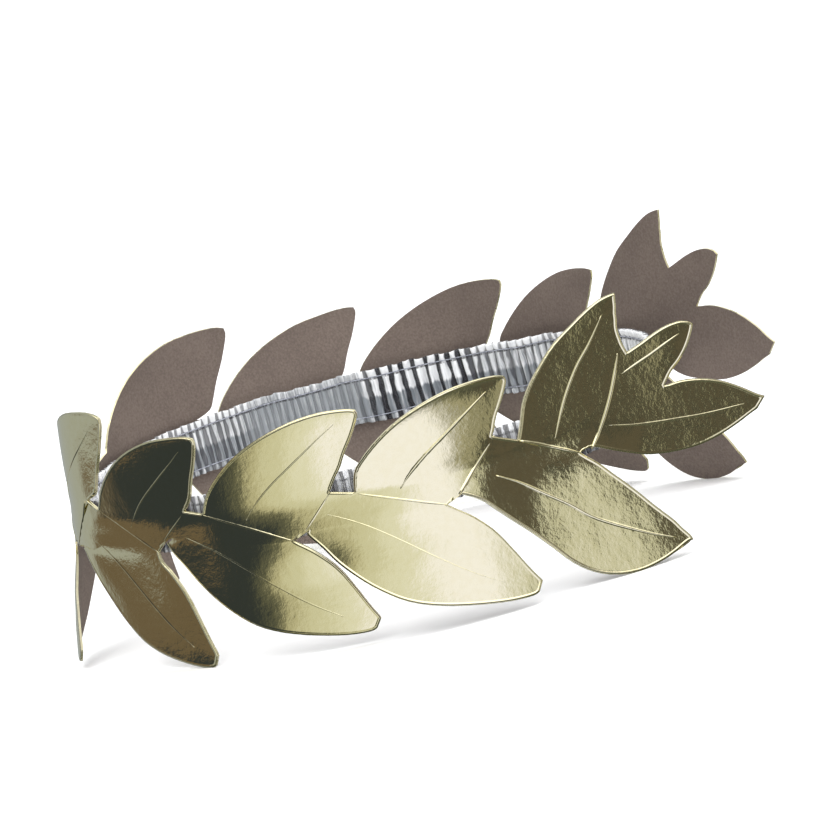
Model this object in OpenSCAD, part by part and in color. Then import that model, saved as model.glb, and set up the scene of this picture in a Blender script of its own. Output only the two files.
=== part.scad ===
// Laurel wreath crown: two die-cut sprigs of foil card round a loop of gathered clear film.
// Millimetres, +Z up, the surface that it stands on at z = 0, the open front towards -Y.

/* [Stems] */
// Distance along a stem from one pair of leaves to the next
leaf_pitch = 43; // [38:0.5:48]
// Distance along the card from the centre back to the first pair of leaves
back_run = 5.5; // [4:0.5:8]
// Gap between the two stem ends at the centre back
stem_gap = 6; // [2:0.5:12]
// Height of the stem's centre line above the surface
stem_height = 36.6; // [30:0.1:42]
// Height of the stem's upper edge above its centre line
stem_up = 2.5; // [1.5:0.1:3.5]
// Depth of the stem's lower edge below its centre line, at the start of a pair
stem_down = 7; // [6:0.1:8]
// Length of stem between one upper leaf's foot and the next
upper_notch = 6; // [3:0.5:8]
// Length of stem between one lower leaf's foot and the next
lower_notch = 4; // [3:0.5:8]
// How far a lower leaf's foot lies behind the upper leaf's
foot_slant = 16.5; // [14:0.5:18]

/* [Leaves] */
// Length of an upper leaf's tip from the start of its pair
upper_length = 53; // [48:0.5:57]
// Height of an upper leaf above the stem's centre line
upper_height = 22; // [18:0.5:25]
// Length of a lower leaf's tip from the start of its pair
lower_length = 45; // [41:0.5:49]
// Length of the last upper leaf's tip from the start of its pair
last_upper_length = 37.8; // [34:0.1:41]
// Height of the last upper leaf
last_upper_height = 33.4; // [29:0.1:37]
// Length of the last lower leaf's tip from the start of its pair
last_lower_length = 41; // [37:0.5:45]
// Length of the small end leaf's tip from the start of the last pair
small_end_length = 56.4; // [53:0.1:59]
// Height of the small end leaf above the centre line
small_end_height = 22.1; // [19:0.1:25]
// Length of the big end leaf's tip from the start of the last pair
big_end_length = 69.4; // [65:0.1:73]
// Height of the notch between the last upper leaf and the small end leaf
end_notch_height = 17.5; // [15:0.1:19]
// Lean of the upper leaves in over the head, in degrees
upper_lean = 4.5; // [0:0.5:7]
// Lean of the lower leaves out from the head, in degrees
lower_lean = 8.5; // [2:0.5:11]

/* [Card] */
// Thickness of the leaf card
card_wall = 0.6; // [0.5:0.05:1]
// Height of the embossed veins
vein_height = 0.25; // [0.1:0.05:0.5]

/* [Band] */
// Height of the gathered band
band_height = 14; // [11:0.5:16]
// How far the band's top edge lies above the stem's centre line
band_up = 7; // [5:0.5:8]
// Distance from one gather to the next
gather_pitch = 2.4; // [2:0.1:3.5]
// Depth of the gathers, from crest to trough
gather_depth = 1.4; // [0.8:0.1:2]
// Thickness of the film
film_wall = 0.4; // [0.3:0.05:0.6]
// Clearance between the film and the card
seat_clear = 0.3; // [0.25:0.05:0.5]
// Length of stem that the band follows on each side
band_run = 190; // [180:1:200]
// Length of the handles that round the band's front
front_round = 32; // [26:1:40]

/* [Hidden] */

// A row for each run of card, from the centre back: the degrees that the right and the left
// arm turn through, and how far each arm's stem rises at the start of the run, as a share of
// stem_height
R_ARM = 0;
L_ARM = 1;
RISE = 2;
RUNS = [
    [-18, 13, 0.11, 0.11],
    [57, 34.5, 0.175, 0.215],
    [13.5, 9, 0.07, 0.09],
    [35.5, 68.5, 0.02, 0.025],
    [31.5, 12.5, 0.04, 0.045],
    [-2, -9, -0.015, 0.075],
    [0, 0, -0.07, 0.125],
];

// A row for each pair of leaves, from the back. SLANT is its share of foot_slant. UP_FROM and
// UP_TO are the stem's upper edge at the upper leaf's foot, as shares of stem_up, and DOWN_FROM
// and DOWN_TO the lower edge as shares of stem_down. The last six columns are the upper leaf's
// shares of upper_length, upper_height and upper_lean, and the lower leaf's shares of
// lower_length, stem_height and lower_lean
SLANT = 0;
UP_FROM = 1;
UP_TO = 2;
DOWN_FROM = 3;
DOWN_TO = 4;
UPPER_SHARES = 5;
LOWER_SHARES = 8;
LEAF_PAIRS = [
    [0.97, 1.00, 1.90, 0.86, 1.10, 1.055, 1.265, 1.20, 0.65, 0.945, 1.60],
    [1.07, 1.15, 1.25, 1.15, 1.07, 1.01, 1.03, -1.15, 0.915, 1.00, 0.20],
    [1.00, 0.75, 0.50, 0.67, 1.20, 1.01, 0.975, -0.80, 1.025, 0.925, 0.15],
    [0.83, 0.00, 2.40, 0.97, 1.10, 0.90, 0.96, -1.70, 0.925, 0.93, 1.90],
    [1.08, 1.40, 1.00, 0.87, 1.10, 1.00, 1.00, -1.05, 1.00, 1.00, 1.55],
];
PAIRS = len(LEAF_PAIRS);
LAST = PAIRS - 1;

// Leaf outlines, a row for each section away from the stem. The columns are the outer edge's
// share of the leaf's length and of its height, then the inner edge's
UPPER_LEAF = [
    [0.12, 0.235, 0.825, 0.23],
    [0.165, 0.36, 0.855, 0.32],
    [0.255, 0.54, 0.88, 0.425],
    [0.37, 0.715, 0.905, 0.52],
    [0.51, 0.86, 0.935, 0.62],
    [0.67, 0.965, 0.96, 0.715],
    [0.82, 1.00, 0.98, 0.80],
    [0.94, 0.99, 0.995, 0.87],
    [0.995, 0.96, 1.00, 0.915],
];
LOWER_LEAF = [
    [-0.225, -0.22, 0.67, -0.27],
    [-0.15, -0.325, 0.73, -0.33],
    [-0.075, -0.445, 0.78, -0.395],
    [0.025, -0.575, 0.825, -0.465],
    [0.135, -0.695, 0.86, -0.54],
    [0.27, -0.81, 0.89, -0.62],
    [0.43, -0.89, 0.92, -0.705],
    [0.62, -0.95, 0.945, -0.78],
    [0.795, -0.99, 0.97, -0.85],
    [0.92, -1.00, 0.99, -0.90],
    [0.96, -0.985, 0.995, -0.92],
];
LAST_UPPER_LEAF = [
    [0.16, 0.215, 0.98, 0.61],
    [0.205, 0.355, 0.975, 0.65],
    [0.275, 0.475, 0.97, 0.695],
    [0.38, 0.605, 0.97, 0.745],
    [0.50, 0.73, 0.98, 0.80],
    [0.64, 0.83, 0.985, 0.85],
    [0.77, 0.915, 0.995, 0.895],
    [0.875, 0.97, 1.00, 0.94],
    [0.945, 0.99, 1.005, 0.975],
    [0.985, 0.995, 1.005, 0.995],
];
LAST_LOWER_LEAF = [
    [-0.23, -0.225, 0.495, -0.135],
    [-0.155, -0.32, 0.555, -0.205],
    [-0.08, -0.42, 0.61, -0.29],
    [0.015, -0.545, 0.675, -0.385],
    [0.105, -0.675, 0.735, -0.48],
    [0.195, -0.81, 0.79, -0.575],
    [0.305, -0.915, 0.84, -0.655],
    [0.44, -0.98, 0.89, -0.735],
    [0.60, -1.00, 0.925, -0.81],
    [0.775, -0.97, 0.955, -0.865],
    [0.925, -0.91, 0.965, -0.905],
];
SMALL_END_LEAF = [
    [0.73, 0.86, 0.85, 0.45],
    [0.805, 0.93, 0.90, 0.545],
    [0.875, 0.975, 0.945, 0.665],
    [0.94, 0.98, 0.98, 0.80],
    [0.985, 0.945, 1.00, 0.905],
];
// The big end leaf, a row for each section across it: the upper edge's share of
// big_end_length and of end_notch_height, then the lower edge's. The small end leaf stands on
// the first SMALL_FOOT rows
BIG_END_LEAF = [
    [0.545, 1.02, 0.28, -0.23],
    [0.58, 0.825, 0.33, -0.19],
    [0.61, 0.63, 0.405, -0.325],
    [0.635, 0.49, 0.49, -0.475],
    [0.655, 0.405, 0.55, -0.555],
    [0.72, 0.40, 0.645, -0.615],
    [0.795, 0.34, 0.735, -0.63],
    [0.87, 0.22, 0.82, -0.58],
    [0.94, 0.04, 0.895, -0.49],
    [0.99, -0.125, 0.95, -0.405],
    [1.02, -0.205, 0.98, -0.365],
];
SMALL_FOOT = 5;
// Number of the big end leaf's sections over which its lower half turns flat
FLAT_AFTER = 3;

// Shares of the way across at which a leaf, the small end leaf and the stem have a line of
// points. The middle ones are the vein's crest and its two feet
ACROSS = [0, 0.17, 0.34, 0.46, 0.5, 0.54, 0.68, 0.84, 1];
SMALL_ACROSS = [0, 0.44, 0.5, 0.56, 1];
STEM_ACROSS = [0, 0.44, 0.5, 0.56, 1];
CREST = 0.5;

band_inset = card_wall / 2 + seat_clear + (gather_depth + film_wall) / 2 + band_up * sin(upper_lean);
back_y = 85.39;
middle_x = 10.96;

// Plan of an arm. A place is [x, y, heading], and the right arm starts at the centre back
// heading towards -X and turns left
function onward(place, run, turn) =
    let (h = place[2], r = run / (turn * PI / 180))
    abs(turn) < 0.01 ? [place.x + run * cos(h), place.y + run * sin(h), h]
    : [place.x + r * (sin(h + turn) - sin(h)), place.y - r * (cos(h + turn) - cos(h)), h + turn];

function run_length(i) = i == 0 ? back_run : leaf_pitch;
function run_start(i) = i == 0 ? 0 : back_run + (i - 1) * leaf_pitch;
function run_of(s) = s < back_run ? 0 : min(PAIRS, 1 + floor((s - back_run) / leaf_pitch));

function run_places(arm, i = 0, place = [0, back_y, 180]) =
    i > PAIRS ? [place]
    : concat([place], run_places(arm, i + 1, onward(place, run_length(i), RUNS[i][arm])));

PLACES = [run_places(R_ARM), run_places(L_ARM)];

// Place at the distance s along an arm. Past the distance free, a leaf's tip goes on straight
function on_arm(arm, s, free) =
    let (
        bent = min(s, free),
        i = run_of(bent),
        share = (bent - run_start(i)) / run_length(i),
        place = onward(PLACES[arm][i], bent - run_start(i), RUNS[i][arm] * share)
    )
    onward(place, s - bent, 0);

function mix(a, b, w) = a * (1 - w) + b * w;

// Rise of an arm's stem at the distance s
function rise_at(arm, s) =
    let (i = run_of(s), share = min(1, (s - run_start(i)) / run_length(i)))
    stem_height * mix(RUNS[i][RISE + arm], RUNS[i + 1][RISE + arm], share);

// Point of the card in the leaf pair k, at the distance s along the arm and v above the centre
// line, and out from the card's middle by n. Where flat is 1, the upper leaf's lean goes on
// below the centre line
function card_point(arm, k, s, v, n, free, flat = 0) =
    let (
        place = on_arm(arm, max(s, stem_gap / 2), free),
        upper = upper_lean * LEAF_PAIRS[k][UPPER_SHARES + 2],
        lean = v > 0 ? upper : mix(lower_lean * LEAF_PAIRS[k][LOWER_SHARES + 2], upper, flat),
        out = n - v * sin(lean),
        lift = rise_at(arm, s) * max(0, min(1, 1 + v / stem_height))
    )
    [
        place.x + out * sin(place[2]),
        place.y - out * cos(place[2]),
        stem_height + lift + v * cos(lean),
    ];

// Sections of the stem, each [upper s, upper v, lower s, lower v]
function upper_foot(k) = run_start(k + 1) + 0.75 * upper_notch;
function lower_foot(k) = upper_foot(k) - foot_slant * LEAF_PAIRS[k][SLANT];
function pair_section(k, w) =
    let (pair = LEAF_PAIRS[k])
    [
        mix(upper_foot(k), upper_foot(k + 1) - upper_notch, w),
        stem_up * mix(pair[UP_FROM], pair[UP_TO], w),
        mix(lower_foot(k), lower_foot(k + 1) - lower_notch, w),
        -stem_down * mix(pair[DOWN_FROM], pair[DOWN_TO], w),
    ];
function end_section(row) = [
    run_start(PAIRS) + big_end_length * row[0],
    end_notch_height * row[1],
    run_start(PAIRS) + big_end_length * row[2],
    end_notch_height * row[3],
];
function last_section(w) =
    let (pair = LEAF_PAIRS[LAST], to = end_section(BIG_END_LEAF[0]))
    [
        mix(upper_foot(LAST), to[0], w),
        mix(stem_up * pair[UP_FROM], to[1], w * w),
        mix(lower_foot(LAST), to[2], w),
        mix(-stem_down * pair[DOWN_FROM], to[3], w),
    ];
STEM = concat(
    [[stem_gap / 2, stem_up, stem_gap / 2, -stem_down / 4]],
    [for (k = [0 : LAST - 1], w = ACROSS) pair_section(k, w)],
    [for (w = ACROSS) last_section(w)],
    [for (i = [1 : len(BIG_END_LEAF) - 1]) end_section(BIG_END_LEAF[i])]
);
function pair_of(i) = max(0, min(LAST, floor((i - 1) / PAIR_COLS)));
STEM_COLS = len(STEM_ACROSS);
PAIR_COLS = len(ACROSS);
LAST_FOOT = 1 + LAST * PAIR_COLS;
END_FOOT = LAST_FOOT + PAIR_COLS - 1;

// Every leaf, as [table, first stem section, columns, pair, length, height]
function lower_reach(k) =
    stem_height * LEAF_PAIRS[k][LOWER_SHARES + 1] / cos(lower_lean * LEAF_PAIRS[k][LOWER_SHARES + 2]);
LEAVES = concat(
    [for (k = [0 : LAST - 1]) [
        UPPER_LEAF, 1 + k * PAIR_COLS, ACROSS, k,
        upper_length * LEAF_PAIRS[k][UPPER_SHARES], upper_height * LEAF_PAIRS[k][UPPER_SHARES + 1],
    ]],
    [for (k = [0 : LAST - 1]) [
        LOWER_LEAF, 1 + k * PAIR_COLS, ACROSS, k,
        lower_length * LEAF_PAIRS[k][LOWER_SHARES], lower_reach(k),
    ]],
    [
        [LAST_UPPER_LEAF, LAST_FOOT, ACROSS, LAST, last_upper_length, last_upper_height],
        [LAST_LOWER_LEAF, LAST_FOOT, ACROSS, LAST, last_lower_length, lower_reach(LAST)],
        [SMALL_END_LEAF, END_FOOT, SMALL_ACROSS, LAST, small_end_length, small_end_height],
    ]
);
function is_upper(leaf) = leaf[0][0][1] > 0;
// Shift of the inner edge in the first rows of an upper leaf, where a high foot draws it up
DRAWN = [1, 0.6, 0.3, 0.1];
function drawn(leaf, i) =
    let (
        foot = STEM[leaf[1] + len(leaf[2]) - 1],
        row = leaf[0][0],
        high = foot[1] - leaf[5] * row[3]
    )
    !is_upper(leaf) || high <= 0 || i >= len(DRAWN) ? [0, 0]
    : DRAWN[i] * [0.8 * (foot[0] - run_start(leaf[3] + 1) - leaf[4] * row[2]), 1.25 * high];
function leaf_points(leaf) = len(leaf[0]) * len(leaf[2]);
// Number of points before each leaf's own
function points_before(i) = i == 0 ? len(STEM) * STEM_COLS : points_before(i - 1) + leaf_points(LEAVES[i - 1]);

// One face of the card, out from its middle by side times half the wall
function stem_face(arm, side) = [for (i = [0 : len(STEM) - 1], w = STEM_ACROSS)
    let (
        row = STEM[i],
        raised = w == CREST && i > END_FOOT + SMALL_FOOT - 3 && i < len(STEM) - 1,
        n = side * card_wall / 2 + (raised ? vein_height : 0)
    )
    card_point(
        arm, pair_of(i), mix(row[0], row[2], w), mix(row[1], row[3], w), n,
        run_start(PAIRS) + leaf_pitch, max(0, min(1, (i - END_FOOT) / FLAT_AFTER))
    )
];
function leaf_face(arm, leaf, side) = [for (i = [0 : len(leaf[0]) - 1], w = leaf[2])
    let (
        row = leaf[0][i],
        start = run_start(leaf[3] + 1),
        off = drawn(leaf, i) * w,
        n = side * card_wall / 2 + (w == CREST && i < len(leaf[0]) - 1 ? vein_height : 0)
    )
    card_point(
        arm, leaf[3], start + leaf[4] * mix(row[0], row[2], w) + off.x,
        leaf[5] * mix(row[1], row[3], w) + off.y, n, start + leaf_pitch
    )
];
function face_points(arm, side) =
    concat(stem_face(arm, side), [for (leaf = LEAVES) each leaf_face(arm, leaf, side)]);

// Number of the point in a leaf's row r and column c, where row 0 is on the stem
function leaf_at(i, r, c) =
    let (leaf = LEAVES[i])
    r == 0 ? (leaf[1] + c) * STEM_COLS + (is_upper(leaf) ? 0 : STEM_COLS - 1)
    : points_before(i) + (r - 1) * len(leaf[2]) + c;
function halves(a, b, c, d) = [[a, b, c], [a, c, d]];

STEM_FACES = [for (i = [0 : len(STEM) - 2], j = [0 : STEM_COLS - 2]) let (k = i * STEM_COLS + j)
    each halves(k + 1, k, k + STEM_COLS, k + STEM_COLS + 1)];
LEAF_FACES = [for (i = [0 : len(LEAVES) - 1]) let (leaf = LEAVES[i], d = is_upper(leaf) ? 0 : 1)
    for (r = [0 : len(leaf[0]) - 1], c = [0 : len(leaf[2]) - 2])
        each halves(
            leaf_at(i, r + d, c), leaf_at(i, r + 1 - d, c),
            leaf_at(i, r + 1 - d, c + 1), leaf_at(i, r + d, c + 1)
        )
];

// The card's rim, as pairs of points in the order that its outer face has them
function carried(i, upper) = len([for (leaf = LEAVES)
    if (is_upper(leaf) == upper && i >= leaf[1] && i < leaf[1] + len(leaf[2]) - 1) 1]) > 0;
STEM_RIM = concat(
    [for (j = [0 : STEM_COLS - 2]) [j + 1, j]],
    [for (i = [0 : len(STEM) - 2]) if (!carried(i, true)) [i * STEM_COLS, (i + 1) * STEM_COLS]],
    [for (i = [0 : len(STEM) - 2]) if (!carried(i, false))
        [(i + 2) * STEM_COLS - 1, (i + 1) * STEM_COLS - 1]],
    [for (j = [0 : STEM_COLS - 2]) let (k = (len(STEM) - 1) * STEM_COLS + j) [k, k + 1]]
);
function turned(edges, back) = back ? [for (e = edges) [e[1], e[0]]] : edges;
LEAF_RIM = [for (i = [0 : len(LEAVES) - 1])
    let (leaf = LEAVES[i], rows = len(leaf[0]), cols = len(leaf[2]))
    each turned(concat(
        [for (r = [0 : rows - 1]) [leaf_at(i, r, 0), leaf_at(i, r + 1, 0)]],
        [for (c = [0 : cols - 2]) [leaf_at(i, rows, c), leaf_at(i, rows, c + 1)]],
        [for (r = [0 : rows - 1]) [leaf_at(i, r + 1, cols - 1), leaf_at(i, r, cols - 1)]]
    ), !is_upper(leaf))
];

module sprig(arm) {
    outer = face_points(arm, 1);
    size = len(outer);
    faces = concat(STEM_FACES, LEAF_FACES);
    rim = concat(STEM_RIM, LEAF_RIM);
    polyhedron(
        concat(outer, face_points(arm, -1)),
        concat(
            faces,
            [for (f = faces) [f[0] + size, f[2] + size, f[1] + size]],
            [for (e = rim) each halves(e[1], e[0], e[0] + size, e[1] + size)]
        )
    );
}

module right_sprig() {
    color("darkkhaki") translate([middle_x, 0, 0]) sprig(R_ARM);
}

module left_sprig() {
    color("darkkhaki") translate([middle_x, 0, 0]) mirror([1, 0, 0]) sprig(L_ARM);
}

// Plan of the band's middle: places [x, y, heading] that go round from the left arm's front
// end, past the centre back, to the right arm's front end, and across the front
function inset(place, by) =
    [place.x - by * sin(place[2]), place.y + by * cos(place[2]), place[2]];
function mirrored(place) = [-place.x, place.y, 360 - place[2]];
function along(place, by) = [place.x + by * cos(place[2]), place.y + by * sin(place[2])];
function bezier(a, b, c, d, t) =
    a * pow(1 - t, 3) + b * 3 * t * pow(1 - t, 2) + c * 3 * t * t * (1 - t) + d * pow(t, 3);
function slope(a, b, c, d, t) =
    (b - a) * 3 * pow(1 - t, 2) + (c - b) * 6 * t * (1 - t) + (d - c) * 3 * t * t;

function arm_band(arm, s) = inset(on_arm(arm, s, s), band_inset);
function front_band(t) =
    let (
        p = arm_band(R_ARM, band_run),
        q = mirrored(arm_band(L_ARM, band_run)),
        a = [p.x, p.y],
        b = along(p, front_round),
        c = along(q, -front_round),
        d = [q.x, q.y],
        here = bezier(a, b, c, d, t),
        way = slope(a, b, c, d, t)
    )
    [here.x, here.y, atan2(way.y, way.x)];

arm_gathers = round(band_run / gather_pitch);
front_gathers = round(2.1 * front_round / gather_pitch);

// The places of all crests and troughs, in order
BAND_PLACES = concat(
    [for (k = [2 * arm_gathers : -1 : 1]) mirrored(arm_band(L_ARM, band_run * k / arm_gathers / 2))],
    [for (k = [0 : 2 * arm_gathers - 1]) arm_band(R_ARM, band_run * k / arm_gathers / 2)],
    [for (k = [0 : 2 * front_gathers - 1]) front_band(k / front_gathers / 2)]
);

function band_ring(out) = [for (k = [0 : len(BAND_PLACES) - 1])
    let (
        place = BAND_PLACES[k],
        across = out + (k % 2 == 0 ? 1 : -1) * gather_depth / 2
    )
    [place.x + across * sin(place[2]), place.y - across * cos(place[2])]
];

module gathered_band() {
    color("gainsboro")
        translate([middle_x, 0, stem_height + band_up - band_height])
        linear_extrude(band_height)
        difference() {
            polygon(band_ring(film_wall / 2));
            polygon(band_ring(-film_wall / 2));
        }
}

right_sprig();
left_sprig();
gathered_band();
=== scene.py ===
# Laurel wreath crown: two sprigs of gold foil card on a loop of clear gathered film
import math
import bpy
import bmesh
from mathutils import Matrix, Vector, noise
from mathutils.kdtree import KDTree


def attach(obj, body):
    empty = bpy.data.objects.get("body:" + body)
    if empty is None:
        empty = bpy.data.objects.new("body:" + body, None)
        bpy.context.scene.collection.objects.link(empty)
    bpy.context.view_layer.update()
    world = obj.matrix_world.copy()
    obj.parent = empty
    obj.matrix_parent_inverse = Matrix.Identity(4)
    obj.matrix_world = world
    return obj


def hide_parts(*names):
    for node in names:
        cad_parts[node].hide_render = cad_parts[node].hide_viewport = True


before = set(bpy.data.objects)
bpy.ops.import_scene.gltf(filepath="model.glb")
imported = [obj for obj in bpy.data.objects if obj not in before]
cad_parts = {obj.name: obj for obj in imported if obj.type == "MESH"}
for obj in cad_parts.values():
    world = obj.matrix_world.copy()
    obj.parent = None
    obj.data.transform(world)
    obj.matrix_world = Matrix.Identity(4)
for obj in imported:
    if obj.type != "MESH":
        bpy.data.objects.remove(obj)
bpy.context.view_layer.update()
mm = 0.001
print("frame loaded")

# the card's sizes, in millimetres and degrees; the runs and the leaf tables below bend and cut it
card = {
    "leafPitch": 43, "backRun": 5.5, "stemGap": 6, "stemHeight": 36.6,
    "stemUp": 2.5, "stemDown": 7, "upperNotch": 6, "lowerNotch": 4, "footSlant": 16.5,
    "upperLength": 53, "upperHeight": 22, "lowerLength": 45,
    "lastUpperLength": 37.8, "lastUpperHeight": 33.4, "lastLowerLength": 41,
    "smallEndLength": 56.4, "smallEndHeight": 22.1, "bigEndLength": 69.4, "endNotchHeight": 17.5,
    "upperLean": 4.5, "lowerLean": 8.5, "wall": 0.6, "backY": 85.39, "middleX": 10.96,
    # a leaf's upper foot starts at this share of the notch, and a high foot draws the leaf's first
    # sections along and up with it, less and less
    "footShare": 0.75, "drawnAlong": 0.8, "drawnUp": 1.25, "drawnFade": [1, 0.6, 0.3, 0.1],
    # the mesh: columns and rows, the weld, the rounded edge, and the step and reach of the distance
    # from the rim
    "columns": 16, "rowsPerSection": 3, "stemRows": 6, "weld": 0.02,
    "rounding": 0.14, "roundingAngle": 60, "rimStep": 0.2, "rimReach": 6,
    # how far each pair's upper and lower leaf crowns, the lower leaves' tips stand out, and the
    # last lower leaf flares
    "crowns": [(0.3, 0.2), (0.25, 0.25), (0.2, 0.2), (-0.5, -0.15), (0.05, 0.1)],
    "smallCrown": 0.1, "tipOut": (0, 0.5, -0.9, 0, 0),
    "flare": 1.5, "flareFrom": -4, "flareTo": 36, "flareRows": 3,
    # sections in which the end leaf's lower half comes flat with its upper half, and the reach,
    # along and down, in which a pair's lower lean eases into its neighbours'
    "flatAfter": 3, "leanReach": 26, "leanFade": 14,
    # the bulge before the joint of the last two pairs, and how it fades above and below the stem
    "joint": {"from": 132, "top": 160, "to": 179, "height": 0.8,
              "fadeUp": 18, "fadeShare": 0.6, "downFrom": 5, "fadeDown": 8},
}
# right turn, left turn in degrees, then the right and left rise as shares of the stem's height
runs = [
    (-18, 13, 0.11, 0.11),
    (57, 34.5, 0.175, 0.215),
    (13.5, 9, 0.07, 0.09),
    (35.5, 68.5, 0.02, 0.025),
    (31.5, 12.5, 0.04, 0.045),
    (-2, -9, -0.015, 0.075),
    (0, 0, -0.07, 0.125),
]
# slant, upper edge from and to, lower edge from and to, then length, height and lean of the
# upper leaf and of the lower leaf, all as shares
leafPairs = [
    (0.97, 1.00, 1.90, 0.86, 1.10, 1.055, 1.265, 1.20, 0.65, 0.945, 1.60),
    (1.07, 1.15, 1.25, 1.15, 1.07, 1.01, 1.03, -1.15, 0.915, 1.00, 0.20),
    (1.00, 0.75, 0.50, 0.67, 1.20, 1.01, 0.975, -0.80, 1.025, 0.925, 0.15),
    (0.83, 0.00, 2.40, 0.97, 1.10, 0.90, 0.96, -1.70, 0.925, 0.93, 1.90),
    (1.08, 1.40, 1.00, 0.87, 1.10, 1.00, 1.00, -1.05, 1.00, 1.00, 1.55),
]
upperLeaf = [
    (0.12, 0.235, 0.825, 0.23), (0.165, 0.36, 0.855, 0.32), (0.255, 0.54, 0.88, 0.425),
    (0.37, 0.715, 0.905, 0.52), (0.51, 0.86, 0.935, 0.62), (0.67, 0.965, 0.96, 0.715),
    (0.82, 1.00, 0.98, 0.80), (0.94, 0.99, 0.995, 0.87), (0.995, 0.96, 1.00, 0.915),
]
lowerLeaf = [
    (-0.225, -0.22, 0.67, -0.27), (-0.15, -0.325, 0.73, -0.33),
    (-0.075, -0.445, 0.78, -0.395), (0.025, -0.575, 0.825, -0.465),
    (0.135, -0.695, 0.86, -0.54), (0.27, -0.81, 0.89, -0.62),
    (0.43, -0.89, 0.92, -0.705), (0.62, -0.95, 0.945, -0.78),
    (0.795, -0.99, 0.97, -0.85), (0.92, -1.00, 0.99, -0.90),
    (0.96, -0.985, 0.995, -0.92),
]
lastUpperLeaf = [
    (0.16, 0.215, 0.98, 0.61), (0.205, 0.355, 0.975, 0.65), (0.275, 0.475, 0.97, 0.695),
    (0.38, 0.605, 0.97, 0.745), (0.50, 0.73, 0.98, 0.80), (0.64, 0.83, 0.985, 0.85),
    (0.77, 0.915, 0.995, 0.895), (0.875, 0.97, 1.00, 0.94), (0.945, 0.99, 1.005, 0.975),
    (0.985, 0.995, 1.005, 0.995),
]
lastLowerLeaf = [
    (-0.23, -0.225, 0.495, -0.135), (-0.155, -0.32, 0.555, -0.205),
    (-0.08, -0.42, 0.61, -0.29), (0.015, -0.545, 0.675, -0.385),
    (0.105, -0.675, 0.735, -0.48), (0.195, -0.81, 0.79, -0.575),
    (0.305, -0.915, 0.84, -0.655), (0.44, -0.98, 0.89, -0.735),
    (0.60, -1.00, 0.925, -0.81), (0.775, -0.97, 0.955, -0.865),
    (0.925, -0.91, 0.965, -0.905),
]
smallEndLeaf = [
    (0.73, 0.86, 0.85, 0.45), (0.805, 0.93, 0.90, 0.545), (0.875, 0.975, 0.945, 0.665),
    (0.94, 0.98, 0.98, 0.80), (0.985, 0.945, 1.00, 0.905),
]
bigEndLeaf = [
    (0.545, 1.02, 0.28, -0.23), (0.58, 0.825, 0.33, -0.19),
    (0.61, 0.63, 0.405, -0.325), (0.635, 0.49, 0.49, -0.475),
    (0.655, 0.405, 0.55, -0.555), (0.72, 0.40, 0.645, -0.615),
    (0.795, 0.34, 0.735, -0.63), (0.87, 0.22, 0.82, -0.58),
    (0.94, 0.04, 0.895, -0.49), (0.99, -0.125, 0.95, -0.405),
    (1.02, -0.205, 0.98, -0.365),
]
smallFoot = 5   # the small end leaf stands on this many of the big end leaf's sections
pairs = len(leafPairs)
last = pairs - 1
armNames = ["right", "left"]


def mix(a, b, w):
    return a * (1 - w) + b * w


def ease(f):   # a smooth step from 0 to 1
    f = min(1, max(0, f))
    return f * f * (3 - 2 * f)


def onward(place, run, turn):   # a place is x, y and heading; turn is in degrees
    x, y, h = place
    t = math.radians(turn)
    if abs(t) < 1e-5:
        return x + run * math.cos(h), y + run * math.sin(h), h
    r = run / t
    return x + r * (math.sin(h + t) - math.sin(h)), y - r * (math.cos(h + t) - math.cos(h)), h + t


def runLength(i):
    return card["backRun"] if i == 0 else card["leafPitch"]


def runStart(i):
    return 0 if i == 0 else card["backRun"] + (i - 1) * card["leafPitch"]


def runOf(s):
    if s < card["backRun"]:
        return 0
    return min(pairs, 1 + int((s - card["backRun"]) // card["leafPitch"]))


armPlaces = []
for arm in (0, 1):
    place = (0, card["backY"], math.pi)
    places = [place]
    for i in range(pairs + 1):
        place = onward(place, runLength(i), runs[i][arm])
        places.append(place)
    armPlaces.append(places)


def onArm(arm, s, free):   # past the distance free, a leaf goes on straight
    bent = min(s, free)
    i = runOf(bent)
    share = (bent - runStart(i)) / runLength(i)
    place = onward(armPlaces[arm][i], bent - runStart(i), runs[i][arm] * share)
    return onward(place, s - bent, 0)


def riseAt(arm, s):
    i = runOf(s)
    share = min(1, (s - runStart(i)) / runLength(i))
    return card["stemHeight"] * mix(runs[i][2 + arm], runs[i + 1][2 + arm], share)


def worldPoint(arm, x, y, z):   # the left arm is the mirror image
    side = 1 if arm == 0 else -1
    return Vector(((card["middleX"] + side * x) * mm, y * mm, z * mm))


def jointSwell(k, s, v):   # the card bulges before the joint of the last two pairs
    joint = card["joint"]
    if k < last - 1 or s < joint["from"] or s > joint["to"]:
        return 0
    if s < joint["top"]:
        out = joint["height"] * ease((s - joint["from"]) / (joint["top"] - joint["from"]))
    else:
        out = joint["height"] * ease((joint["to"] - s) / (joint["to"] - joint["top"]))
    if k == last:
        return out
    if v > 0:
        return out * (1 - joint["fadeShare"] * ease(v / joint["fadeUp"]))
    return out * (1 - ease((-v - joint["downFrom"]) / joint["fadeDown"]))


def lowerLeanAt(k, s, v):   # a pair's own lean, eased into its neighbours' across the joints
    lean = leafPairs[k][10]
    near = 1 - ease((-v - card["stemDown"]) / card["leanFade"])
    down = min(1, max(0, (card["stemUp"] - v) / (card["stemUp"] + card["stemDown"])))
    for other, foot in ((k - 1, k), (k + 1, k + 1)):
        if 0 <= other < pairs:
            top = upperFoot(foot) - card["upperNotch"] / 2
            low = lowerFoot(foot) - card["lowerNotch"] / 2
            share = 0.5 * near * (1 - ease(abs(s - mix(top, low, down)) / card["leanReach"]))
            lean = mix(lean, leafPairs[other][10], share)
    return card["lowerLean"] * lean


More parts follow.
